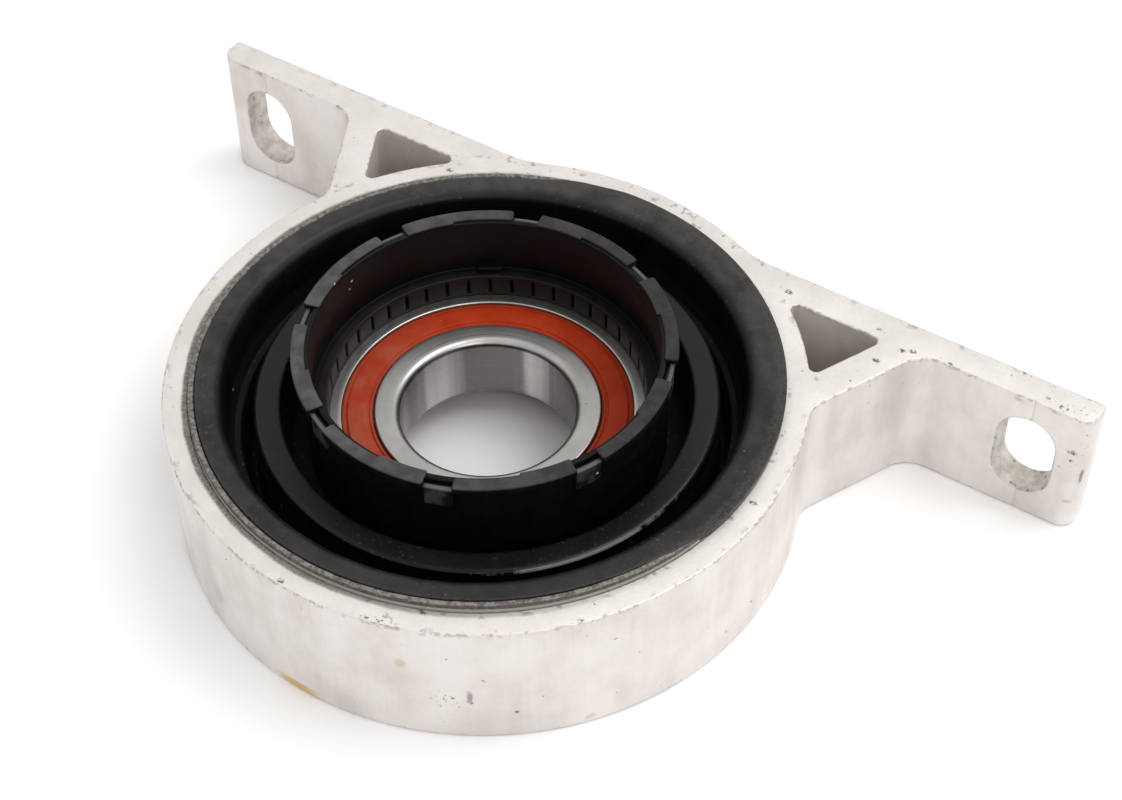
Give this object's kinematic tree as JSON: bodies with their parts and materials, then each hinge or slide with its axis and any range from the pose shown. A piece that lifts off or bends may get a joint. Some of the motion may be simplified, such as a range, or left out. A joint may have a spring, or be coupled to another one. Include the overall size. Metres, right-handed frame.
{
  "type": "driveshaft centre bearing",
  "caption": "Sealed ball bearing held by a rubber ring in an aluminium bracket with slotted ears; it carries the middle of a two-piece driveshaft.",
  "frame": {"origin": "middle of the bearing's bore", "axes": "+Z along the shaft towards the dust collar, +X along the bar, +Y towards the bar"},
  "size_m": [0.1812, 0.108, 0.0347],
  "materials": {
    "aluminium": "sawn",
    "sleeve_steel": "matt",
    "bearing_steel": "ground",
    "black_rubber": "matt",
    "black_plastic": "matt",
    "seal_orange": "satin"
  },
  "bodies": {
    "bracket": {"bracket": "aluminium", "outer_sleeve": "sleeve_steel", "rubber_mount": "black_rubber"},
    "carrier": {"inner_sleeve": "sleeve_steel", "dust_collar": "black_plastic", "outer_ring": "bearing_steel", "seal_top": "seal_orange", "seal_bottom": "seal_orange"},
    "inner_race": {"inner_ring": "bearing_steel"},
    "cage": {"cage_top": "bearing_steel", "cage_bottom": "bearing_steel", "cage_rivets": "bearing_steel", "ball_1": "bearing_steel", "ball_2": "bearing_steel", "ball_3": "bearing_steel", "ball_4": "bearing_steel", "ball_5": "bearing_steel", "ball_6": "bearing_steel", "ball_7": "bearing_steel", "ball_8": "bearing_steel", "ball_9": "bearing_steel", "ball_10": "bearing_steel", "ball_11": "bearing_steel"}
  },
  "joints": [
    {"name": "carrier_float", "type": "slide", "parent": "bracket", "child": "carrier", "axis": [0, 0, 1], "range_m": [-0.004, 0.004], "stiffness_N_per_m": 30000, "deforming": ["rubber_mount"]},
    {"name": "inner_spin", "type": "hinge", "parent": "carrier", "child": "inner_race", "pos_m": [0, 0, 0], "axis": [0, 0, 1], "continuous": true},
    {"name": "cage_spin", "type": "hinge", "parent": "carrier", "child": "cage", "pos_m": [0, 0, 0], "axis": [0, 0, 1], "continuous": true}
  ],
  "couplings": [
    {"joint": "cage_spin", "follows": "inner_spin", "ratio": 0.41595}
  ]
}
